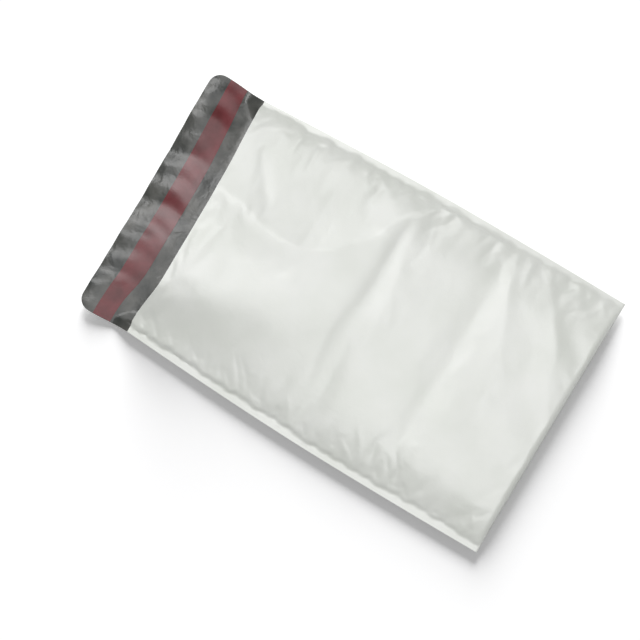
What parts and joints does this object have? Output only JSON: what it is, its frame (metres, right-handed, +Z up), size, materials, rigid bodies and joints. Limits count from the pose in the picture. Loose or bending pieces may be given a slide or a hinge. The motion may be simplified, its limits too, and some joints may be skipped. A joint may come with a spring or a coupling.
{
  "type": "padded envelope",
  "caption": "Padded mailing envelope of white film with a bubble lining, lying flat with its mouth open and its closing flap spread out.",
  "frame": {"origin": "centre of the envelope's outline, on the surface that its back panel lies on", "axes": "+X across the envelope, +Y from the bottom fold towards the mouth and the flap, +Z up out of the front panel"},
  "size_m": [0.191, 0.316, 0.024],
  "materials": {
    "white_film": "satin coextruded polyethylene film, white outside and grey inside",
    "clear_bubble_film": "thin clear bubble film",
    "adhesive": "pressure-sensitive adhesive",
    "red_release_film": "dull red release film, slightly glossy"
  },
  "bodies": {
    "root": {"outer_film": "white_film", "bubble_liner": "clear_bubble_film", "adhesive_strip": "adhesive", "release_liner": "red_release_film"}
  },
  "joints": []
}
